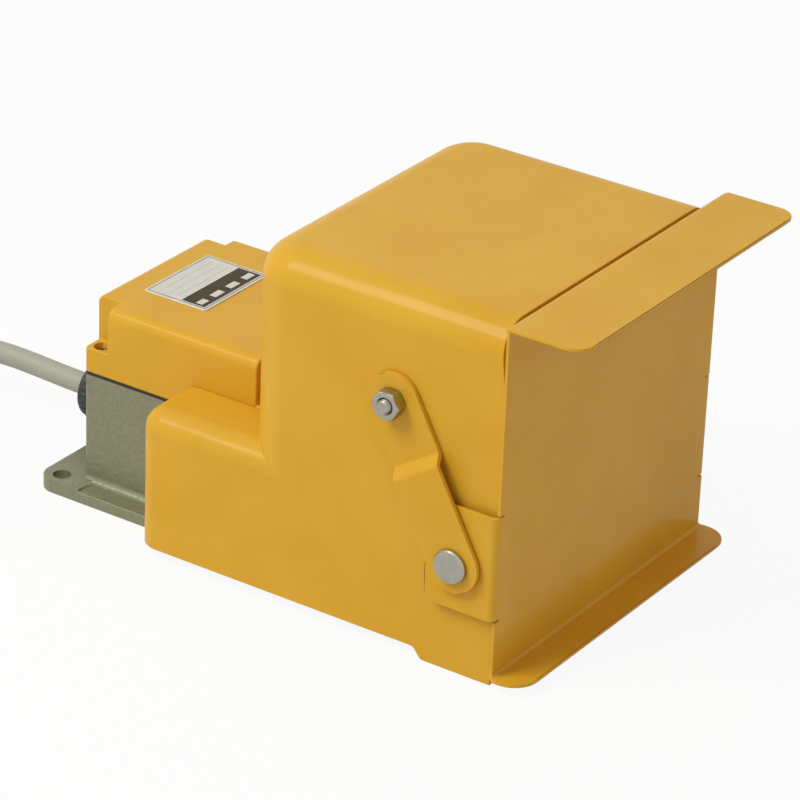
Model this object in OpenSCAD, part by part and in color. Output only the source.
// Guarded industrial foot switch, in millimetres. Front is -Y, up is +Z.
// A cast base holds the switch chamber. A sheet-steel hood stands over the pedal, and a
// door hangs in front of it on two cranked arms. The origin is the centre of the four
// floor bolts, at floor level.

/* [Base casting] */
// Length of the flange, front to back
base_len = 226; // [222:1:240]
// Width of the flange
base_w = 110; // [108:1:118]
// Thickness of the flange
base_t = 5; // [4:0.5:6]
// Radius of the flange's corners
base_corner_r = 8; // [4:1:10]
// Diameter of the floor bolt holes
floor_hole_d = 7.5; // [6:0.5:9]
// Floor hole's centre to the end of the flange
hole_inset_y = 8.5; // [7.5:0.5:10]
// Floor hole's centre to the side of the flange
hole_inset_x = 6.8; // [6.5:0.1:8]
// Height of the pad round each floor hole
pad_h = 1; // [0.5:0.5:2]
// Length of the pad round each floor hole
pad_len = 22; // [18:1:24]
// Width of the pad round each back floor hole
back_pad_w = 34; // [26:1:38]

/* [Switch chamber] */
// Flange left free at each side of the chamber
base_side = 11; // [9:0.5:13]
// Length of the chamber over its walls
chamber_len = 97; // [95:1:104]
// Height of the gasket seat above the floor
chamber_h = 53; // [50:1:58]
// Thickness of the chamber walls
chamber_wall = 4; // [3:0.5:5]
// Radius of the chamber's upright corners
chamber_corner_r = 2; // [1.5:0.5:4]
// Flange left free behind the chamber
chamber_back_gap = 16.5; // [14:0.5:20]
// Thickness of the gasket
gasket_t = 1; // [0.5:0.25:2]
// Width of the gasket's band
gasket_band = 4; // [3:0.5:6]

/* [Cover] */
// Height of the cover above the gasket
cover_h = 31; // [29:1:40]
// Thickness of the cover's walls
cover_wall = 3; // [2.5:0.5:4]
// Radius along the cover's upper edges
cover_edge_r = 7; // [4:1:9]
// Length of the screw recess at each corner
recess_len = 11.6; // [10:0.2:13]
// Width of the screw recess at each corner
recess_w = 9; // [8:0.5:11]
// Height of the recess shelf above the gasket
shelf_h = 11; // [8:0.5:13]
// Thread diameter of the cover screws
cover_screw_d = 4; // [3:0.5:5]
// Head diameter of the cover screws
cover_head_d = 7; // [6:0.5:7.5]
// Head height of the cover screws
cover_head_h = 2.6; // [2:0.2:3.2]
// Depth of the counterbores that take the cover screws' heads
cover_sink = 4.5; // [3:0.5:6]
// Depth of the cover screws in the casting
cover_screw_grip = 12; // [8:1:20]

/* [Nameplate] */
// Width of the nameplate
plate_w = 43; // [30:1:56]
// Depth of the nameplate, front to back
plate_len = 31; // [20:1:40]
// Thickness of the nameplate
plate_t = 0.5; // [0.3:0.1:1]
// Nameplate's centre to the back of the cover
plate_inset = 28; // [24:1:40]

/* [Hood] */
// Width of the hood over its sides
hood_w = 148; // [146:1:156]
// Height of the hood
hood_h = 150; // [142:1:170]
// Length of the hood's tall part
hood_len = 117.5; // [114:0.5:124]
// Thickness of the hood's sheet
hood_wall = 2; // [1.5:0.5:2.5]
// Radius along the hood's upper edges
hood_top_r = 14; // [8:1:18]
// Radius of the hood's upright back edges
hood_corner_r = 20; // [14:1:24]
// Length of the low wings behind the tall part
wing_len = 50; // [46:1:60]
// Height of the wings
wing_h = 64.6; // [58:0.2:75]
// Radius along the wings' upper edges
wing_top_r = 9; // [5:1:12]
// Radius of the wings' upright back edges
wing_corner_r = 10; // [6:1:14]
// Gap between the hood's lower edge and the floor
skirt_gap = 4.6; // [3:0.2:6]
// Length of the hood's feet that reach the floor
foot_len = 29.5; // [20:0.5:40]
// Length of the slope behind each foot
foot_slope = 5; // [2:0.5:8]
// Gap between the hood's back and the chamber
hood_back_gap = 2; // [1:0.5:3]

/* [Hood fixing] */
// Thickness of the brackets' sheet
bracket_t = 2; // [1.5:0.5:3]
// Width of each bracket along the hood
bracket_w = 20; // [14:1:26]
// Height of each bracket's upright leg
bracket_h = 20; // [14:1:26]
// Front brackets' distance behind the floor pads
bracket_front = 6; // [2:1:14]
// Back brackets' distance ahead of the wings' back
bracket_back = 27.5; // [20:0.5:34]
// Thread diameter of the hood screws
hood_screw_d = 5; // [4:0.5:6]
// Head height of the hood screws
hood_head_h = 3; // [2:0.5:3.5]

/* [Door] */
// Gap between the hood's front and the door
door_gap = 2.5; // [2:0.25:4]
// Thickness of the door's sheet
door_t = 2; // [1.5:0.5:2.5]
// Width that the door stands out at each side
door_over = 4; // [3.6:0.2:6]
// Height of the door's lower lip above the floor
door_floor_gap = 4; // [2:0.5:6]
// Height of the upper lip above the hood's top
lip_rise = 3; // [3:0.5:6]
// Depth of the upper lip
lip_depth = 32; // [20:1:36]
// Radius of the upper lip's corners
lip_corner_r = 8; // [4:1:12]
// Depth of the lower lip
toe_depth = 14; // [12:1:20]
// Radius of the lower lip's corners
toe_corner_r = 11; // [6:1:11]
// Inner radius of the bends in the sheet
bend_r = 1.2; // [0.8:0.2:2]
// Depth of the side tabs
tab_depth = 32; // [30:1:36]
// Height of the side tabs
tab_h = 44; // [38:1:46]
// Length of the tab below its rivet
tab_drop = 20; // [16:1:22]
// Radius of the tabs' corners
tab_corner_r = 5; // [2:1:8]

/* [Arms] */
// Distance between the arm's two pivots
arm_len = 65.6; // [62:0.2:67]
// Width of the arm
arm_w = 23; // [19:1:24]
// Thickness of the arm
arm_t = 2; // [1.5:0.5:2.5]
// Lean of the closed arm from the upright
arm_lean = 28.7; // [28:0.1:29.5]
// Crank's distance from the upper pivot
crank_at = 24.5; // [23:0.5:27]
// Length of the crank's slope
crank_len = 3.5; // [3:0.5:5]
// Upper pivot's distance behind the hood's front
pivot_back = 45.5; // [45:0.5:47]
// Height of the upper pivot
pivot_z = 107; // [104:0.5:108]
// Diameter of the pivot bolts
bolt_d = 6; // [5:1:8]
// Width across flats of the bolts and nuts
bolt_af = 11; // [10:0.5:13]
// Height of the bolt heads
bolt_head_h = 4; // [3:0.5:5]
// Height of the nuts
nut_h = 5.5; // [4:0.5:7]
// Length of bolt that shows beyond the nut
bolt_end = 1.4; // [1:0.2:3]
// Shank diameter of the door rivets
rivet_d = 8; // [6:1:9]
// Head diameter of the door rivets
rivet_head_d = 14; // [12:1:16]
// Head height of the door rivets
rivet_head_h = 2; // [1.5:0.5:3]
// Height of the rivets' closed end
rivet_tail_h = 0.9; // [0.5:0.1:1]

/* [Pedal] */
// Gap between the bushes and the pedal's side arms
pedal_gap = 1.5; // [1:0.25:2.5]
// Thickness of the pedal's sheet
pedal_t = 3; // [2:0.5:3]
// Height of the pedal's upper face
pedal_z = 36; // [35:0.5:40]
// Pedal's front edge behind the hood's front
pedal_front = 11.5; // [10:0.5:16]
// Gap between the pedal plate and the hood's back wall
pedal_back = 8; // [6:0.5:14]
// Height of the pedal's side arms
pedal_arm_h = 8; // [7:0.5:8.5]
// Radius of the eye at the end of each arm
pedal_eye_r = 11; // [9:0.5:12]
// Travel of the pedal in degrees
pedal_travel = 6; // [4:0.5:6.5]
// Height of the pedal's shaft
shaft_z = 32; // [31:0.5:33]
// Shaft's distance behind the chamber's front
shaft_back = 31; // [30:0.5:32]
// Diameter of the shaft
shaft_d = 10; // [8:0.5:11]
// Shaft length beyond each clip
shaft_end = 3; // [2:0.5:5]
// Thickness of the shaft clips
clip_t = 1; // [0.8:0.2:1.4]
// Width of the clip round the shaft
clip_band = 3; // [2:0.5:4]
// Wall thickness of the bushes
bush_wall = 2; // [1.5:0.5:2.5]
// Thickness of the bushes' flange
bush_flange_t = 1.5; // [1:0.25:2]
// Width of the bushes' flange
bush_flange_w = 2; // [1.5:0.5:3]
// Thickness of the rubber tread's sheet
tread_t = 2; // [1.5:0.5:3]
// Height of the tread's ribs
rib_h = 2; // [1:0.5:2.5]
// Distance between the tread's ribs
rib_pitch = 9; // [7:1:12]
// Margin of bare pedal round the tread
tread_margin = 5; // [4:1:9]

/* [Pedal spring and bumpers] */
// Mean radius of the spring
spring_r = 9; // [8:0.5:11]
// Wire diameter of the spring
spring_wire_d = 2; // [1.5:0.1:2.4]
// Turns of the spring
spring_turns = 6; // [5:0.5:6]
// Spring's distance behind the hood's front
spring_back = 60; // [56:1:70]
// Radius of the spring's locating bosses
spring_boss_r = 6; // [5:0.5:6.5]
// Height of the spring's locating bosses
spring_boss_h = 5; // [3:0.5:6]
// Radius of the rubber bumpers
bumper_r = 7; // [5:0.5:8]
// Bumpers' distance behind the hood's front
bumper_back = 25; // [22:1:30]
// Distance between the two bumpers
bumper_span = 50; // [40:1:50]
// Thread diameter of the bumpers' studs
bumper_stud_d = 4; // [3:0.5:5]

/* [Striker] */
// Radius of the striker's hub
hub_r = 9; // [8:0.5:9.5]
// Width of the striker's hub
hub_w = 16; // [12:1:17]
// Width of the striker's arm
striker_w = 12; // [10:1:13]
// Height of the striker's arm
striker_h = 8; // [6:1:9]
// Striker screw's distance behind the shaft
striker_reach = 35; // [33:0.5:36]
// Length of the arm beyond its screw
striker_end = 11; // [10:0.5:12]
// Thread diameter of the striker screw
striker_screw_d = 5; // [4:0.5:5.5]
// Width across flats of the striker's lock nut
lock_af = 8; // [8:0.5:9]
// Height of the striker's lock nut
lock_h = 4; // [3:0.5:5]
// Radius of the rest stop under the arm
stop_r = 3; // [2:0.5:4]
// Diameter of the hub's set screw
set_screw_d = 5; // [4:0.5:6]
// Set screw's length above the hub
set_screw_up = 1.5; // [0.5:0.5:2]

/* [Snap switch] */
// Length of the switch case
case_len = 49.2; // [48:0.2:50]
// Width of the switch case
case_w = 17.45; // [17:0.05:18]
// Height of the switch case
case_h = 24; // [22:0.5:24.5]
// Height of the switch case above the floor
case_z = 50; // [49.6:0.1:50.4]
// Lever pin's distance ahead of the striker screw
lever_reach = 37; // [36:0.5:38]
// Plunger's distance behind the lever pin
plunger_at = 12; // [11:0.5:14]
// Diameter of the plunger
plunger_d = 4; // [3:0.5:5]
// Length of the plunger inside the case
plunger_in = 5; // [4:0.5:8]
// Width of the switch lever
lever_w = 8; // [6:0.5:9]
// Thickness of the switch lever
lever_t = 0.8; // [0.5:0.1:1]
// Length of the lever beyond the striker screw
lever_end = 3; // [2.8:0.2:5]
// Height of the lever pin below the case
pin_drop = 4.5; // [4.3:0.1:4.8]
// Diameter of the lever pin
pin_d = 2; // [1.5:0.1:2.2]
// Wall of the lever's eye and of the case's ears
eye_wall = 0.8; // [0.6:0.1:1]
// Thickness of the case's ears
ear_t = 2; // [1.5:0.25:3]
// Distance between the case's fixing holes
case_hole_span = 25.4; // [24:0.2:26]
// Height of the fixing holes above the case's underside
case_hole_up = 10; // [8:0.5:12]
// Diameter of the case's fixing screws
case_screw_d = 4; // [3:0.2:4.2]
// Diameter of the screw heads inside the chamber
small_head_d = 7; // [6:0.5:7]
// Height of the screw heads inside the chamber
small_head_h = 2.4; // [2:0.2:3]
// Distance between the terminals along the case
terminal_pitch = 16; // [15:0.5:17]
// Distance between the terminals across the case
terminal_shift = 4.5; // [4:0.5:5]
// Thickness of the terminals' plates
terminal_t = 0.8; // [0.5:0.1:1]
// Width of the terminals' plates
terminal_w = 6; // [5:0.5:6.5]

/* [Switch bracket] */
// Thickness of the switch bracket's sheet
mount_t = 2; // [1.5:0.5:3]
// Width of the bracket's foot
mount_foot = 16; // [14:1:20]
// Length of the bracket along the case
mount_len = 34; // [32:1:38]
// Height of the pad under the bracket
mount_pad_h = 3; // [2:0.5:5]
// Earth screw's distance from the middle
earth_x = 28; // [24:1:30]
// Earth screw's distance ahead of the chamber's back
earth_back = 22; // [20:1:30]
// Radius of the earth screw's boss
earth_boss_r = 5; // [4:0.5:6]

/* [Gland] */
// Height of the gland's axis
gland_z = 20; // [18:0.5:24]
// Thread diameter of the gland
gland_thread_d = 20; // [18:1:20]
// Width across flats of the gland's body
gland_af = 27; // [26:0.5:30]
// Length of the gland body's hexagon
gland_hex_len = 9; // [7:1:12]
// Length of the gland's nut
gland_nut_len = 20; // [19:0.5:26]
// Radius of the gland's nut
gland_nut_r = 12.5; // [12:0.5:14]
// Radius of the nut's flat outer end
gland_nose_r = 11; // [10:0.5:11.5]
// Length of the nut's rounded edge
gland_nose_len = 1.5; // [1:0.25:3]
// Length of the gland body's barrel inside the nut
gland_barrel_len = 8; // [6:1:10]
// Radius of the rubber seal's pocket in the nut
seal_r = 9; // [8:0.5:9.5]
// Length of the rubber seal
seal_len = 9; // [6:1:10]
// Thickness of the gland's lock nut
locknut_t = 5; // [4:0.5:6]
// Radius of the gland's lock nut
locknut_r = 13; // [12:0.5:14]

/* [Cable] */
// Diameter of the cable
cable_d = 9.5; // [8:0.5:10]
// Diameter of a wire inside the chamber
wire_d = 2.2; // [1.6:0.2:2.6]
// Length of the stripped cores at the far end
core_len = 40; // [30:1:60]
// Thickness of the ties round the coil
tie_t = 1; // [0.8:0.1:1.4]
// Width of the ties round the coil
tie_w = 10; // [6:1:16]

/* [Fits] */
// Gap between neighbouring pieces of different bodies
clear = 0.3; // [0.2:0.05:0.35]
// Radial clearance of a running fit
run_fit = 0.05; // [0.02:0.01:0.08]
// Radial clearance round a fixed pin or screw
fix_fit = 0.02; // [0.01:0.01:0.05]

/* [Hidden] */
$fn = 64;
over = 1;                       // how far a cutting shape runs past what it cuts
yellow = [0.85, 0.66, 0.26];
hammer_grey = [0.53, 0.52, 0.42];
steel = [0.72, 0.72, 0.7];
brass = [0.75, 0.6, 0.3];
rubber = [0.12, 0.12, 0.12];
cable_grey = [0.66, 0.65, 0.61];

// Places along Y, from the base to the door
base_back = base_len / 2;
base_front = -base_len / 2;
chamber_back = base_back - chamber_back_gap;
chamber_front = chamber_back - chamber_len;
chamber_mid = (chamber_back + chamber_front) / 2;
chamber_w = base_w - 2 * base_side;
hood_back = chamber_front - hood_back_gap;
hood_front = hood_back - hood_len;
wing_back = hood_back + wing_len;
door_back = hood_front - door_gap;
door_front = door_back - door_t;
floor_hole_x = base_w / 2 - hole_inset_x;
floor_hole_y = base_len / 2 - hole_inset_y;

// Cover and its screws
gasket_top = chamber_h + gasket_t;
cover_top = gasket_top + cover_h;
shelf_z = gasket_top + shelf_h;
head_seat = shelf_z - cover_sink;
cover_screw_x = chamber_w / 2 - recess_w / 2;
cover_screw_y = chamber_len / 2 - recess_len / 2;
post_w = recess_w + cover_wall;
post_len = recess_len + cover_wall;

// Door, arms and their pivots
door_w = hood_w + 2 * door_over;
door_top = hood_h + lip_rise;
pivot_y = hood_front + pivot_back;
rivet_y = pivot_y - arm_len * sin(arm_lean);
rivet_z = pivot_z - arm_len * cos(arm_lean);
tab_z = rivet_z - tab_drop;
arm_in = hood_w / 2 + clear;
arm_out = door_w / 2 + clear;
nut_x = arm_in + arm_t + clear;

// Pedal, its shaft and its stops
shaft_y = chamber_front + shaft_back;
shaft_r = shaft_d / 2;
pedal_w = chamber_w + 2 * (bush_flange_t + pedal_gap + pedal_t);
pedal_y0 = hood_front + pedal_front;
pedal_y1 = hood_back - hood_wall - pedal_back;
pedal_under = pedal_z - pedal_t;
arm_face = pedal_w / 2 - pedal_t;
clip_x = pedal_w / 2 + clear;
shaft_half = clip_x + clip_t + shaft_end;
spring_y = hood_front + spring_back;
bumper_y = hood_front + bumper_back;
bumper_top = shaft_z + (bumper_y - shaft_y - bumper_r) * sin(pedal_travel)
    + (pedal_under - shaft_z) * cos(pedal_travel) - clear;

// Striker and snap switch
striker_y = shaft_y + striker_reach;
striker_z0 = shaft_z - striker_h / 2;
striker_z1 = shaft_z + striker_h / 2;
pin_y = striker_y - lever_reach;
pin_z = case_z - pin_drop;
lever_z1 = pin_z;
lever_z0 = lever_z1 - lever_t;
plunger_y = pin_y + plunger_at;
case_y0 = pin_y - pin_d / 2 - eye_wall * 2;
case_y1 = case_y0 + case_len;
case_mid = (case_y0 + case_y1) / 2;
case_hole_z = case_z + case_hole_up;
case_top = case_z + case_h;
mount_x = case_w / 2 + clear;
mount_foot_z = base_t + mount_pad_h;
mount_screw_x = mount_x + mount_t + mount_foot / 2;
terminal_z = case_top + terminal_t + small_head_h;

// Gland and cable
gland_out = chamber_back;
nut_start = gland_out + gland_hex_len + clear;
gland_end = gland_out + gland_hex_len + clear + gland_nut_len;
cable_r = cable_d / 2;
thread_in = chamber_back - chamber_wall - locknut_t - 1;
tail_end = thread_in - 5;
wire_rise = 20;                 // height above the gland at which the wires stand upright
core_pitch = 2.6;               // the bare cores' spacing where they leave the cable
core_fan = 5;                   // how far they spread apart by their ends
coil_r = 50;                    // middle of the coil's turns
coil_rows = 3;
coil_layers = 2;
coil_centre = [-59.5, 243];
// Points of the cable from the gland to the coil, by hand
run_points = [[0, 140, 20.3], [0, 150, 20.7], [0, 160, 21.1], [0, 170, 21.2], [0, 180, 20.6],
    [0, 190, 19], [0, 200, 16.3], [0, 210, 13], [0, 220, 9.8], [0, 230, 7.3], [0, 240, 6.2]];
// Points of the cable's free end, from the top of the coil down to the floor, by hand
tail_points = [[-58, 302, 15.5], [-66, 302.4, 15.2], [-74, 303, 14], [-82, 304, 11.8],
    [-90, 305.4, 9.2], [-98, 307.2, 6.9], [-106, 309.4, 5.4], [-114, 312, 5]];
core_heading = [-0.94, 0.34, 0];

function unit(v) = v / norm(v);
function last(list) = list[len(list) - 1];
function along(p, i) =
    unit(p[min(i + 1, len(p) - 1)] - p[max(i - 1, 0)]);
function ring(c, t, ref, r, n) =
    let (s = unit(cross(t, ref)), u = cross(s, t))
    [for (k = [0:n - 1]) c + r * (cos(360 * k / n) * s + sin(360 * k / n) * u)];

// A round tube swept along a list of points; ref is a direction it never runs along
module swept(p, r, n = 12, ref = [1, 0, 0]) {
    count = len(p);
    points = [for (i = [0:count - 1]) each ring(p[i], along(p, i), ref, r, n)];
    sides = [for (i = [0:count - 2], k = [0:n - 1])
        [i * n + k, i * n + (k + 1) % n, (i + 1) * n + (k + 1) % n, (i + 1) * n + k]];
    start = [for (k = [0:n - 1]) n - 1 - k];
    end = [for (k = [0:n - 1]) (count - 1) * n + k];
    polyhedron(points = points, faces = concat(sides, [start], [end]));
}

module both_sides() {
    for (side = [-1, 1]) scale_side(side) children();
}

// Mirrors a right-hand piece to the left
module scale_side(side) {
    if (side > 0) children();
    else mirror([1, 0, 0]) children();
}

// Cylinders along X, Y and Z between two places
module rod_x(r, x0, x1, y, z) {
    translate([x0, y, z]) rotate([0, 90, 0]) cylinder(r = r, h = x1 - x0);
}
module rod_y(r, y0, y1, x, z) {
    translate([x, y0, z]) rotate([-90, 0, 0]) cylinder(r = r, h = y1 - y0);
}
module rod_z(r, z0, z1, x, y) {
    translate([x, y, z0]) cylinder(r = r, h = z1 - z0);
}
module hex_x(af, x0, x1, y, z) {
    translate([x0, y, z]) rotate([0, 90, 0])
        cylinder(r = af / 2 / cos(30), h = x1 - x0, $fn = 6);
}

// A box between two corners
module block(low, high) {
    translate(low) cube(high - low);
}

// Rectangle from p0 to p1 with its corners rounded
module round_rect(p0, p1, r) {
    size = p1 - p0;
    translate([p0[0] + r, p0[1]]) square([size[0] - 2 * r, size[1]]);
    translate([p0[0], p0[1] + r]) square([size[0], size[1] - 2 * r]);
    for (x = [p0[0] + r, p1[0] - r], y = [p0[1] + r, p1[1] - r])
        translate([x, y]) circle(r = r);
}

// Rectangle with only its two far corners (at +y) rounded
module far_rounded(w, y0, y1, r) {
    translate([-w / 2, y0]) square([w, y1 - r - y0]);
    translate([-w / 2 + r, y0]) square([w - 2 * r, y1 - y0]);
    intersection() {
        translate([-w / 2, y0]) square([w, y1 - y0]);
        for (side = [-1, 1]) translate([side * (w / 2 - r), y1 - r]) circle(r = r);
    }
}

// A block with rounded upper edges and rounded upright back edges, open to -Y and down
module shell_block(w, y0, y1, z0, z1, r_top, r_up) {
    intersection() {
        translate([0, y1, 0]) rotate([90, 0, 0])
            linear_extrude(y1 - y0) far_rounded(w, z0, z1, r_top);
        translate([0, 0, z0 - over])
            linear_extrude(z1 - z0 + 2 * over) far_rounded(w, y0 - over, y1, r_up);
        translate([-w / 2 - over, 0, 0]) rotate([90, 0, 90])
            linear_extrude(w + 2 * over) back_rounded(y0 - over, y1, z0 - over, z1, r_top);
    }
}

// Side view of a block whose upper back corner is round
module back_rounded(y0, y1, z0, z1, r) {
    translate([y0, z0]) square([y1 - y0, z1 - r - z0]);
    translate([y0, z0]) square([y1 - r - y0, z1 - z0]);
    translate([y1 - r, z1 - r]) circle(r = r);
}

module at_cover_screws() {
    for (x = [-cover_screw_x, cover_screw_x], y = [-cover_screw_y, cover_screw_y])
        translate([x, chamber_mid + y, 0]) children();
}

module at_floor_holes() {
    for (x = [-floor_hole_x, floor_hole_x], y = [-floor_hole_y, floor_hole_y])
        translate([x, y, 0]) children();
}

hood_screw_x = (chamber_w / 2 + base_w / 2) / 2 + 1;
hood_screw_ys = [base_front + pad_len + bracket_front + bracket_w / 2,
    wing_back - bracket_back];
module at_hood_screws() {
    for (side = [-1, 1], y = hood_screw_ys)
        scale_side(side) translate([hood_screw_x, y, 0]) children();
}

// Plan of the chamber, drawn in by a distance
module chamber_plan(inset = 0) {
    round_rect([-chamber_w / 2 + inset, chamber_front + inset],
        [chamber_w / 2 - inset, chamber_back - inset], max(chamber_corner_r - inset, 1.5));
}

// Squares over the corners of the chamber, as large as the screw posts
module corner_posts() {
    intersection() {
        chamber_plan();
        for (sx = [-1, 1], sy = [-1, 1])
            translate([sx * (chamber_w - post_w) / 2,
                chamber_mid + sy * (chamber_len - post_len) / 2])
                square([post_w, post_len], center = true);
    }
}

// ---- Base, gasket and cover ----

module base_casting() color(hammer_grey) {
    difference() {
        union() {
            linear_extrude(base_t)
                round_rect([-base_w / 2, base_front], [base_w / 2, base_back], base_corner_r);
            floor_pads();
            linear_extrude(chamber_h) difference() {
                chamber_plan();
                chamber_plan(chamber_wall);
            }
            linear_extrude(chamber_h) corner_posts();
            block([mount_x, case_mid - mount_len / 2, over],
                [mount_x + mount_t + mount_foot, case_mid + mount_len / 2, mount_foot_z]);
            rod_z(earth_boss_r, over, base_t + mount_pad_h, -earth_x, chamber_back - earth_back);
            rod_z(stop_r, over, striker_z0 - clear, 0, striker_y + striker_end - stop_r);
            rod_z(spring_boss_r, over, base_t + spring_boss_h, 0, spring_y);
        }
        at_floor_holes() rod_z(floor_hole_d / 2, -over, base_t + pad_h + over, 0, 0);
        at_cover_screws()
            rod_z(cover_screw_d / 2 + fix_fit, chamber_h - cover_screw_grip - over,
                chamber_h + over, 0, 0);
        at_hood_screws() rod_z(hood_screw_d / 2 + fix_fit, -over, base_t + over, 0, 0);
        rod_x(shaft_r + bush_wall + fix_fit, -chamber_w / 2 - over, chamber_w / 2 + over,
            shaft_y, shaft_z);
        rod_y(gland_thread_d / 2 + fix_fit, chamber_back - chamber_wall - over,
            chamber_back + over, 0, gland_z);
        for (y = mount_screw_ys)
            rod_z(case_screw_d / 2 + fix_fit, over, mount_foot_z + over, mount_screw_x, y);
        rod_z(case_screw_d / 2 + fix_fit, over, mount_foot_z + over,
            -earth_x, chamber_back - earth_back);
        for (side = [-1, 1])
            rod_z(bumper_stud_d / 2 + fix_fit, -over, base_t + over,
                side * bumper_span / 2, bumper_y);
    }
}
mount_screw_ys = [case_mid - mount_len / 4, case_mid + mount_len / 4];

// The raised corners round the floor holes, ending in a small step
module floor_pads() {
    intersection() {
        linear_extrude(base_t + pad_h)
            round_rect([-base_w / 2, base_front], [base_w / 2, base_back], base_corner_r);
        for (sx = [-1, 1], end = [[-1, pad_len], [1, back_pad_w]])
            translate([sx * (base_w - end[1]) / 2, end[0] * (base_len - pad_len) / 2, base_t])
                cube([end[1], pad_len, 2 * pad_h], center = true);
    }
}

module chamber_gasket() color(rubber) {
    translate([0, 0, chamber_h]) linear_extrude(gasket_t) difference() {
        union() {
            difference() {
                chamber_plan();
                chamber_plan(gasket_band);
            }
            corner_posts();
        }
        at_cover_screws() circle(r = cover_screw_d / 2 + run_fit);
    }
}

module switch_cover() color(yellow) {
    inner_top = cover_top - cover_wall;
    difference() {
        cover_outside();
        difference() {
            translate([0, 0, gasket_top - over])
                linear_extrude(inner_top - gasket_top + over) chamber_plan(cover_wall);
            translate([0, 0, gasket_top - 2 * over])
                linear_extrude(cover_h + 3 * over) corner_posts();
        }
        at_corner_recesses(shelf_z, cover_top + over);
        at_cover_screws()
            rod_z(cover_screw_d / 2 + run_fit, gasket_top - over, shelf_z + over, 0, 0);
        at_cover_screws() rod_z(cover_head_d / 2 + clear, head_seat, shelf_z + over, 0, 0);
    }
}

module cover_outside() {
    intersection() {
        translate([0, 0, gasket_top]) linear_extrude(cover_h) chamber_plan();
        translate([0, chamber_back + over, 0]) rotate([90, 0, 0])
            linear_extrude(chamber_len + 2 * over)
            far_rounded(chamber_w, gasket_top - over, cover_top, cover_edge_r);
        translate([-chamber_w / 2 - over, 0, 0]) rotate([90, 0, 90])
            linear_extrude(chamber_w + 2 * over)
            back_rounded(chamber_front - over, chamber_back, gasket_top - over, cover_top,
                cover_edge_r / 2);
    }
}

// Square notches over the four cover screws
module at_corner_recesses(z0, z1) {
    for (sx = [-1, 1], sy = [-1, 1])
        translate([sx * (chamber_w / 2 - recess_w / 2 + over / 2),
            chamber_mid + sy * (chamber_len / 2 - recess_len / 2 + over / 2),
            (z0 + z1) / 2])
            cube([recess_w + over, recess_len + over, z1 - z0], center = true);
}

module cover_screws() color(steel) {
    at_cover_screws() {
        rod_z(cover_screw_d / 2, chamber_h - cover_screw_grip, head_seat + over / 2, 0, 0);
        difference() {
            rod_z(cover_head_d / 2, head_seat, head_seat + cover_head_h, 0, 0);
            screw_cross(cover_head_d * 0.6, head_seat + cover_head_h, cover_head_h / 2);
        }
    }
}

// A cross recess cut into the top of a screw head
module screw_cross(width, z, depth) {
    for (turn = [0, 90]) rotate([0, 0, turn])
        translate([-width / 2, -width / 8, z - depth]) cube([width, width / 4, depth + over]);
}

module nameplate() color([0.82, 0.82, 0.8]) {
    translate([0, chamber_back - plate_inset, cover_top]) linear_extrude(plate_t)
        round_rect([-plate_w / 2, -plate_len / 2], [plate_w / 2, plate_len / 2], 1.5);
}

// ---- Hood ----

module hood() color(yellow) {
    difference() {
        intersection() {
            union() {
                shell_block(hood_w, hood_front, hood_back, -over, hood_h,
                    hood_top_r, hood_corner_r);
                shell_block(hood_w, hood_front, wing_back, -over, wing_h,
                    wing_top_r, wing_corner_r);
            }
            hood_side_limit();
        }
        shell_block(hood_w - 2 * hood_wall, hood_front - over, hood_back - hood_wall,
            -2 * over, hood_h - hood_wall, hood_top_r - hood_wall, hood_corner_r - hood_wall);
        difference() {
            shell_block(hood_w - 2 * hood_wall, hood_front - over, wing_back - hood_wall,
                -2 * over, wing_h - hood_wall, wing_top_r - hood_wall,
                wing_corner_r - hood_wall);
            block([-chamber_slot, hood_back - hood_wall, -3 * over],
                [chamber_slot, wing_back + over, hood_h]);
        }
        block([-chamber_slot, hood_back, -over],
            [chamber_slot, wing_back + over, wing_h + over]);
        block([-base_w / 2 - clear, base_front - clear, -over],
            [base_w / 2 + clear, wing_back + over, base_t + clear]);
        both_sides() rod_x(bolt_d / 2 + fix_fit, hood_w / 2 - hood_wall - over,
            hood_w / 2 + over, pivot_y, pivot_z);
    }
}
chamber_slot = chamber_w / 2 + clear;

// Side view of the hood: feet at the front, a raised lower edge behind them
module hood_side_limit() {
    translate([-hood_w / 2 - over, 0, 0]) rotate([90, 0, 90])
        linear_extrude(hood_w + 2 * over) polygon([
            [hood_front, 0],
            [hood_front + foot_len, 0],
            [hood_front + foot_len + foot_slope, skirt_gap],
            [wing_back + over, skirt_gap],
            [wing_back + over, hood_h + over],
            [hood_front, hood_h + over]]);
}

module hood_brackets() color(steel) {
    wall_x = hood_w / 2 - hood_wall;
    both_sides() for (y = hood_screw_ys) {
        difference() {
            block([hood_screw_x - hood_screw_d, y - bracket_w / 2, base_t],
                [wall_x, y + bracket_w / 2, base_t + bracket_t]);
            rod_z(hood_screw_d / 2 + run_fit, base_t - over, base_t + bracket_t + over,
                hood_screw_x, y);
        }
        block([wall_x - bracket_t, y - bracket_w / 2, base_t],
            [wall_x, y + bracket_w / 2, base_t + bracket_h]);
    }
}

module hood_screws() color(steel) {
    head_z = base_t + bracket_t;
    at_hood_screws() {
        rod_z(hood_screw_d / 2, clear, head_z + over / 2, 0, 0);
        difference() {
            rod_z(hood_screw_d * 0.9, head_z, head_z + hood_head_h, 0, 0);
            screw_cross(hood_screw_d, head_z + hood_head_h, hood_head_h / 2);
        }
    }
}

// ---- Door and arms ----

// Quarter of a bent sheet, from +Y round to +Z
module bend_quarter() {
    intersection() {
        difference() {
            circle(r = bend_r + door_t);
            circle(r = bend_r);
        }
        square(bend_r + door_t + over);
    }
}

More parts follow.
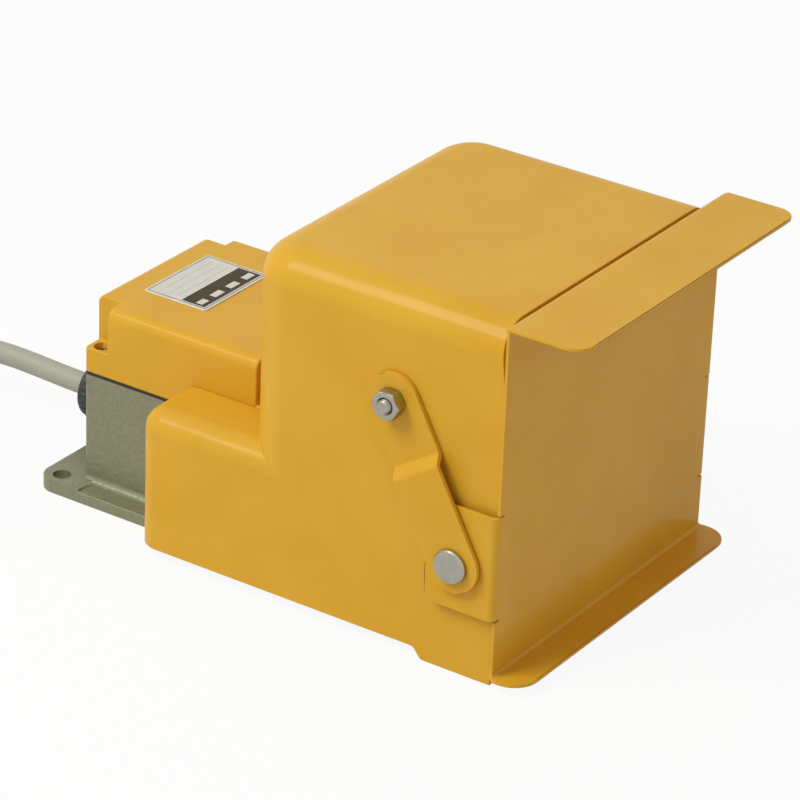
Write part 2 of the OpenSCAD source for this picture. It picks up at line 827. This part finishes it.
// Side view of the plate with its two bends
module door_side() {
    turn = bend_r + door_t;
    translate([door_front, door_floor_gap + turn])
        square([door_t, door_top - door_floor_gap - 2 * turn]);
    translate([door_front - bend_r, door_top - turn]) bend_quarter();
    translate([door_front - bend_r, door_floor_gap + turn]) mirror([0, 1]) bend_quarter();
}

// A lip that runs forward from its bend, with two round corners
module door_lip(depth, r, z) {
    translate([0, 0, z]) linear_extrude(door_t) translate([0, door_front - bend_r])
        mirror([0, 1]) far_rounded(door_w, 0, depth - bend_r, r);
}

module front_door() color(yellow) {
    turn = bend_r + door_t;
    difference() {
        union() {
            translate([-door_w / 2, 0, 0]) rotate([90, 0, 90])
                linear_extrude(door_w) door_side();
            door_lip(lip_depth, lip_corner_r, door_top - door_t);
            door_lip(toe_depth, toe_corner_r, door_floor_gap);
        }
        both_sides() block([door_w / 2 - turn, door_front - over, tab_z],
            [door_w / 2 + over, door_back + over, tab_z + tab_h]);
    }
    both_sides() difference() {
        union() {
            translate([door_w / 2 - turn, door_front + turn, tab_z]) linear_extrude(tab_h)
                mirror([0, 1]) bend_quarter();
            translate([door_w / 2 - door_t, 0, 0]) rotate([90, 0, 90])
                linear_extrude(door_t) tab_outline();
        }
        rod_x(rivet_d / 2 + fix_fit, door_w / 2 - door_t - over, door_w / 2 + over,
            rivet_y, rivet_z);
    }
}

// Side view of a tab, round at its two back corners
module tab_outline() {
    y0 = door_front + bend_r + door_t;
    y1 = door_front + tab_depth;
    translate([y0, tab_z]) square([y1 - tab_corner_r - y0, tab_h]);
    translate([y0, tab_z + tab_corner_r]) square([y1 - y0, tab_h - 2 * tab_corner_r]);
    for (z = [tab_z + tab_corner_r, tab_z + tab_h - tab_corner_r])
        translate([y1 - tab_corner_r, z]) circle(r = tab_corner_r);
}

module door_rivets() color(steel) {
    inner = door_w / 2 - door_t;
    outer = arm_out + arm_t + clear;
    both_sides() {
        rod_x(rivet_d / 2 + over, inner - rivet_tail_h, inner, rivet_y, rivet_z);
        rod_x(rivet_d / 2, inner - over / 2, outer + over / 2, rivet_y, rivet_z);
        rod_x(rivet_head_d / 2, outer, outer + rivet_head_h, rivet_y, rivet_z);
    }
}

// A right-hand arm at its closed place
module arm() {
    translate([0, pivot_y, pivot_z]) rotate([-arm_lean, 0, 0]) difference() {
        intersection() {
            translate([0, arm_w / 2 + over, 0]) rotate([90, 0, 0])
                linear_extrude(arm_w + 2 * over) arm_crank();
            translate([arm_in - over, 0, 0]) rotate([90, 0, 90])
                linear_extrude(arm_out - arm_in + arm_t + 2 * over) arm_outline();
        }
        rod_x(bolt_d / 2 + run_fit, arm_in - over, arm_out + arm_t + over, 0, 0);
        rod_x(rivet_d / 2 + run_fit, arm_in - over, arm_out + arm_t + over, 0, -arm_len);
    }
}

// Edge view of the arm: two flat ends and a sloping crank between them
module arm_crank() {
    top = arm_w / 2 + over;
    polygon([
        [arm_in, top], [arm_in + arm_t, top],
        [arm_in + arm_t, -crank_at], [arm_out + arm_t, -crank_at - crank_len],
        [arm_out + arm_t, -arm_len - top], [arm_out, -arm_len - top],
        [arm_out, -crank_at - crank_len - arm_t / 2], [arm_in, -crank_at - arm_t / 2]]);
}

// Face view of the arm, in Y and Z
module arm_outline() {
    for (z = [0, -arm_len]) translate([0, z]) circle(r = arm_w / 2);
    translate([-arm_w / 2, -arm_len]) square([arm_w, arm_len]);
}

module left_arm() color(yellow) mirror([1, 0, 0]) arm();

module right_arm() color(yellow) arm();

module pivot_bolts() color(steel) {
    wall_x = hood_w / 2 - hood_wall;
    both_sides() {
        hex_x(bolt_af, wall_x - bolt_head_h, wall_x, pivot_y, pivot_z);
        rod_x(bolt_d / 2, wall_x - over, nut_x + nut_h + bolt_end, pivot_y, pivot_z);
    }
}

module pivot_nuts() color(steel) {
    both_sides() difference() {
        hex_x(bolt_af, nut_x, nut_x + nut_h, pivot_y, pivot_z);
        rod_x(bolt_d / 2 + fix_fit, nut_x - over, nut_x + nut_h + over, pivot_y, pivot_z);
    }
}

// ---- Pedal ----

// Side view of a pedal arm: a bar along the plate and an eye round the shaft
module pedal_arm_outline() {
    translate([pedal_y0, pedal_z - pedal_arm_h]) square([shaft_y - pedal_y0, pedal_arm_h]);
    translate([shaft_y, shaft_z]) circle(r = pedal_eye_r);
}

module pedal_frame() color(steel) {
    block([-pedal_w / 2, pedal_y0, pedal_under], [pedal_w / 2, pedal_y1, pedal_z]);
    block([-pedal_w / 2, pedal_y0, pedal_z - pedal_arm_h],
        [pedal_w / 2, pedal_y0 + pedal_t, pedal_z]);
    rod_z(spring_boss_r, pedal_under - spring_boss_h, pedal_under + over, 0, spring_y);
    both_sides() difference() {
        translate([arm_face, 0, 0]) rotate([90, 0, 90])
            linear_extrude(pedal_t) pedal_arm_outline();
        rod_x(shaft_r + fix_fit, arm_face - over, pedal_w / 2 + over, shaft_y, shaft_z);
    }
}

module pedal_tread() color(rubber) {
    x1 = pedal_w / 2 - tread_margin;
    y0 = pedal_y0 + tread_margin;
    y1 = pedal_y1 - tread_margin;
    ribs = floor((y1 - y0 - rib_pitch / 2) / rib_pitch);
    first = (y0 + y1 - (ribs - 1) * rib_pitch) / 2;
    block([-x1, y0, pedal_z], [x1, y1, pedal_z + tread_t]);
    for (k = [0:ribs - 1])
        block([-x1, first + k * rib_pitch - rib_pitch / 4, pedal_z + tread_t / 2],
            [x1, first + k * rib_pitch + rib_pitch / 4, pedal_z + tread_t + rib_h]);
}

module pedal_shaft() color(steel) {
    rod_x(shaft_r, -shaft_half, shaft_half, shaft_y, shaft_z);
}

module shaft_bushes() color(brass) {
    both_sides() difference() {
        union() {
            rod_x(shaft_r + bush_wall, chamber_w / 2 - chamber_wall,
                chamber_w / 2 + over / 2, shaft_y, shaft_z);
            rod_x(shaft_r + bush_wall + bush_flange_w, chamber_w / 2,
                chamber_w / 2 + bush_flange_t, shaft_y, shaft_z);
        }
        rod_x(shaft_r + run_fit, chamber_w / 2 - chamber_wall - over,
            chamber_w / 2 + bush_flange_t + over, shaft_y, shaft_z);
    }
}

module shaft_clips() color(steel) {
    both_sides() difference() {
        rod_x(shaft_r + clip_band, clip_x, clip_x + clip_t, shaft_y, shaft_z);
        rod_x(shaft_r + fix_fit, clip_x - over, clip_x + clip_t + over, shaft_y, shaft_z);
    }
}

module return_spring() color(steel) {
    wire_r = spring_wire_d / 2;
    z0 = base_t + wire_r;
    z1 = pedal_under - wire_r;
    steps = 12 * spring_turns;
    swept([for (i = [0:steps]) let (a = 360 * spring_turns * i / steps)
        [spring_r * cos(a), spring_y + spring_r * sin(a), z0 + (z1 - z0) * i / steps]],
        wire_r, 8, [0, 0, 1]);
}

module pedal_bumpers() color(rubber) {
    for (side = [-1, 1]) {
        rod_z(bumper_r, base_t, bumper_top, side * bumper_span / 2, bumper_y);
        rod_z(bumper_stud_d / 2, clear, base_t + over, side * bumper_span / 2, bumper_y);
    }
}

// ---- Striker on the shaft ----

module striker_lever() color(steel) {
    difference() {
        union() {
            rod_x(hub_r, -hub_w / 2, hub_w / 2, shaft_y, shaft_z);
            block([-striker_w / 2, shaft_y, striker_z0],
                [striker_w / 2, striker_y + striker_end, striker_z1]);
        }
        rod_x(shaft_r + fix_fit, -hub_w / 2 - over, hub_w / 2 + over, shaft_y, shaft_z);
        rod_z(striker_screw_d / 2 + fix_fit, striker_z0 - over, striker_z1 + over,
            0, striker_y);
        rod_z(set_screw_d / 2 + fix_fit, shaft_z, shaft_z + hub_r + over, 0, shaft_y);
    }
}

module striker_screw() color(steel) {
    tip = lever_z0 - clear;
    rod_z(striker_screw_d / 2, striker_z0 - clear, tip - striker_screw_d / 2, 0, striker_y);
    intersection() {
        translate([0, striker_y, tip - striker_screw_d / 2]) sphere(r = striker_screw_d / 2);
        rod_z(striker_screw_d, tip - striker_screw_d / 2 - 0.5, tip, 0, striker_y);
    }
}

module striker_lock_nut() color(steel) {
    difference() {
        translate([0, striker_y, striker_z1])
            cylinder(r = lock_af / 2 / cos(30), h = lock_h, $fn = 6);
        rod_z(striker_screw_d / 2 + fix_fit, striker_z1 - over, striker_z1 + lock_h + over,
            0, striker_y);
    }
}

module striker_set_screw() color(steel) {
    difference() {
        rod_z(set_screw_d / 2, shaft_z + shaft_r + fix_fit,
            shaft_z + hub_r + set_screw_up, 0, shaft_y);
        translate([0, shaft_y, shaft_z + hub_r])
            cylinder(r = set_screw_d / 4, h = set_screw_up + over, $fn = 6);
    }
}

// ---- Snap switch ----

module switch_case() color([0.16, 0.13, 0.12]) {
    ear_x = lever_w / 2 + clear;
    ear_r = pin_d / 2 + eye_wall;
    difference() {
        union() {
            translate([-case_w / 2, 0, 0]) rotate([90, 0, 90]) linear_extrude(case_w)
                round_rect([case_y0, case_z], [case_y1, case_top], 1.5);
            both_sides() {
                rod_x(ear_r, ear_x, ear_x + ear_t, pin_y, pin_z);
                block([ear_x, pin_y - ear_r, pin_z],
                    [ear_x + ear_t, pin_y + ear_r, case_z + over]);
            }
        }
        rod_x(pin_d / 2 + fix_fit, -case_w / 2 - over, case_w / 2 + over, pin_y, pin_z);
        rod_z(plunger_d / 2 + run_fit, case_z - over, plunger_top + 2, 0, plunger_y);
        for (y = case_hole_ys)
            rod_x(case_screw_d / 2 + run_fit, -case_w / 2 - over, case_w / 2 + over,
                y, case_hole_z);
    }
}
case_hole_ys = [case_mid - case_hole_span / 2, case_mid + case_hole_span / 2];
plunger_top = case_z + plunger_in;

module switch_plunger() color([0.7, 0.15, 0.1]) {
    rod_z(plunger_d / 2, lever_z1 + clear, plunger_top, 0, plunger_y);
}

module switch_lever() color(steel) {
    difference() {
        union() {
            rod_x(pin_d / 2 + eye_wall, -lever_w / 2, lever_w / 2, pin_y, pin_z);
            block([-lever_w / 2, pin_y, lever_z0],
                [lever_w / 2, striker_y + lever_end, lever_z1]);
        }
        rod_x(pin_d / 2 + run_fit, -lever_w, lever_w, pin_y, pin_z);
    }
}

module lever_pin() color(steel) {
    pin_half = lever_w / 2 + clear + ear_t;
    rod_x(pin_d / 2, -pin_half, pin_half, pin_y, pin_z);
}

terminal_spots = [for (k = [-1:1]) [k * terminal_shift, case_mid + k * terminal_pitch]];
module switch_terminals() color(brass) {
    for (spot = terminal_spots) translate([spot[0], spot[1], 0]) {
        block([-terminal_w / 2, -terminal_w / 2, case_top],
            [terminal_w / 2, terminal_w / 2, case_top + terminal_t]);
        difference() {
            rod_z(terminal_w / 2 - clear, case_top + terminal_t / 2, terminal_z, 0, 0);
            screw_cross(terminal_w * 0.6, terminal_z, small_head_h / 3);
        }
    }
}

module case_screws() color(steel) {
    tip = mount_x + mount_t + 1.5;
    for (y = case_hole_ys) {
        rod_x(case_screw_d / 2, -case_w / 2 - over / 2, tip, y, case_hole_z);
        rod_x(small_head_d / 2, -case_w / 2 - small_head_h, -case_w / 2, y, case_hole_z);
    }
}

module switch_bracket() color(steel) {
    y0 = case_mid - mount_len / 2;
    y1 = case_mid + mount_len / 2;
    difference() {
        union() {
            block([mount_x, y0, mount_foot_z],
                [mount_x + mount_t, y1, case_hole_z + case_screw_d * 1.5]);
            block([mount_x, y0, mount_foot_z],
                [mount_x + mount_t + mount_foot, y1, mount_foot_z + mount_t]);
        }
        rod_x(shaft_r + mount_t, mount_x - over, mount_x + mount_t + over, shaft_y, shaft_z);
        for (y = case_hole_ys)
            rod_x(case_screw_d / 2 + fix_fit, mount_x - over, mount_x + mount_t + over,
                y, case_hole_z);
        for (y = mount_screw_ys)
            rod_z(case_screw_d / 2 + run_fit, mount_foot_z - over,
                mount_foot_z + mount_t + over, mount_screw_x, y);
    }
}

// A pan-head screw standing on its seat, with its shank below
module small_screw(seat, tip) {
    rod_z(case_screw_d / 2, tip, seat + over / 2, 0, 0);
    difference() {
        rod_z(small_head_d / 2, seat, seat + small_head_h, 0, 0);
        screw_cross(small_head_d * 0.6, seat + small_head_h, small_head_h / 2);
    }
}

module bracket_screws() color(steel) {
    for (y = mount_screw_ys) translate([mount_screw_x, y, 0])
        small_screw(mount_foot_z + mount_t, over + clear);
}

module earth_screw() color(brass) {
    translate([-earth_x, chamber_back - earth_back, 0]) small_screw(mount_foot_z, over + clear);
}

// ---- Gland, wires and cable ----

tail_bore = cable_r + clear;

module gland_body() color(rubber) {
    difference() {
        union() {
            translate([0, gland_out, gland_z]) rotate([-90, 0, 0])
                cylinder(r = gland_af / 2 / cos(30), h = gland_hex_len, $fn = 6);
            rod_y(gland_thread_d / 2, thread_in, gland_out + over, 0, gland_z);
            rod_y(gland_thread_d / 2, gland_out + over,
                gland_out + gland_hex_len + gland_barrel_len, 0, gland_z);
        }
        rod_y(tail_bore, thread_in - over, gland_end, 0, gland_z);
    }
}

module gland_locknut() color(steel) {
    y1 = chamber_back - chamber_wall;
    difference() {
        rod_y(locknut_r, y1 - locknut_t, y1, 0, gland_z);
        rod_y(gland_thread_d / 2 + fix_fit, y1 - locknut_t - over, y1 + over, 0, gland_z);
    }
}

seal_start = gland_out + gland_hex_len + gland_barrel_len;
module gland_seal() color([0.2, 0.2, 0.2]) {
    difference() {
        rod_y(seal_r - clear, seal_start, seal_start + seal_len, 0, gland_z);
        rod_y(cable_r + fix_fit, seal_start - over, seal_start + seal_len + over, 0, gland_z);
    }
}

module gland_nut() color(rubber) {
    translate([0, 0, gland_z]) rotate([-90, 0, 0]) rotate_extrude() polygon(concat([
        [gland_thread_d / 2 + fix_fit, nut_start],
        [gland_nut_r, nut_start],
        [gland_nut_r, gland_end - gland_nose_len]],
        [for (a = [15:15:90]) [
            gland_nose_r + (gland_nut_r - gland_nose_r) * cos(a),
            gland_end - gland_nose_len * (1 - sin(a))]],
        [[tail_bore, gland_end],
        [tail_bore, seal_start + seal_len + clear],
        [seal_r, seal_start + seal_len + clear],
        [seal_r, seal_start],
        [gland_thread_d / 2 + fix_fit, seal_start]]));
}

module cable_tail() color(cable_grey) {
    rod_y(cable_r, tail_end, gland_end, 0, gland_z);
}

// Each wire climbs behind the switch and runs forward over it to its terminal
module inner_wires() color([0.75, 0.75, 0.72]) {
    r = wire_d / 2;
    back = (case_y1 + tail_end) / 2;
    for (spot = terminal_spots) {
        x = spot[0];
        top = case_top + terminal_t + r + clear;
        x0 = x / 2;
        swept([[x0, tail_end, gland_z], [x0, tail_end - 1.5, gland_z + 0.4],
            [x0, tail_end - 3, gland_z + 2.5], [x, back + 0.5, gland_z + 9],
            [x, back, gland_z + wire_rise], [x, back, case_z], [x, back, case_top - 8],
            [x, back - 1, case_top - 2], [x, back - 3.2, top - 1],
            [x, back - 6, top], [x, spot[1] + terminal_w / 2 + clear / 2, top]],
            r, 8, [1, 0, 0]);
    }
}

module cable() color(cable_grey) {
    swept(concat([[0, gland_end, gland_z]], run_points), cable_r, 12, [1, 0, 0]);
    swept(tail_points, cable_r, 12, [0, 0, 1]);
}

module cable_coil() color(cable_grey) {
    width = coil_rows * cable_d;
    translate([coil_centre[0], coil_centre[1], tie_t]) rotate_extrude()
        translate([coil_r - width / 2, 0]) square([width, coil_layers * cable_d]);
}

module coil_ties() color(rubber) {
    outer_w = coil_rows * cable_d + 2 * (tie_t + 2 * clear);
    outer_h = coil_layers * cable_d + 2 * tie_t + clear;
    translate([coil_centre[0], coil_centre[1], 0]) for (turn = [20, 200])
        rotate([0, 0, turn]) translate([coil_r, 0, 0]) difference() {
            translate([-outer_w / 2, -tie_w / 2, 0]) cube([outer_w, tie_w, outer_h]);
            translate([tie_t - outer_w / 2, -tie_w, tie_t])
                cube([outer_w - 2 * tie_t, 2 * tie_w, outer_h - 2 * tie_t]);
        }
}

module cable_cores() color(brass) {
    from = last(tail_points) + 0.1 * core_heading;
    side = unit(cross(core_heading, [0, 0, 1]));
    for (k = [-1:1]) {
        a = from + k * core_pitch * side;
        b = a + core_len * core_heading + k * core_fan * side
            - [0, 0, last(tail_points)[2] - wire_d / 2];
        swept([a, a + 4 * core_heading, (a + b) / 2, b - 4 * core_heading, b],
            wire_d / 2, 8, [0, 0, 1]);
    }
}

base_casting();
chamber_gasket();
switch_cover();
cover_screws();
nameplate();
hood();
hood_brackets();
hood_screws();
front_door();
door_rivets();
left_arm();
right_arm();
pivot_bolts();
pivot_nuts();
pedal_frame();
pedal_tread();
pedal_shaft();
shaft_bushes();
shaft_clips();
return_spring();
pedal_bumpers();
striker_lever();
striker_screw();
striker_lock_nut();
striker_set_screw();
switch_case();
switch_plunger();
switch_lever();
lever_pin();
switch_terminals();
case_screws();
switch_bracket();
bracket_screws();
earth_screw();
gland_body();
gland_locknut();
gland_seal();
gland_nut();
cable_tail();
inner_wires();
cable();
cable_coil();
coil_ties();
cable_cores();
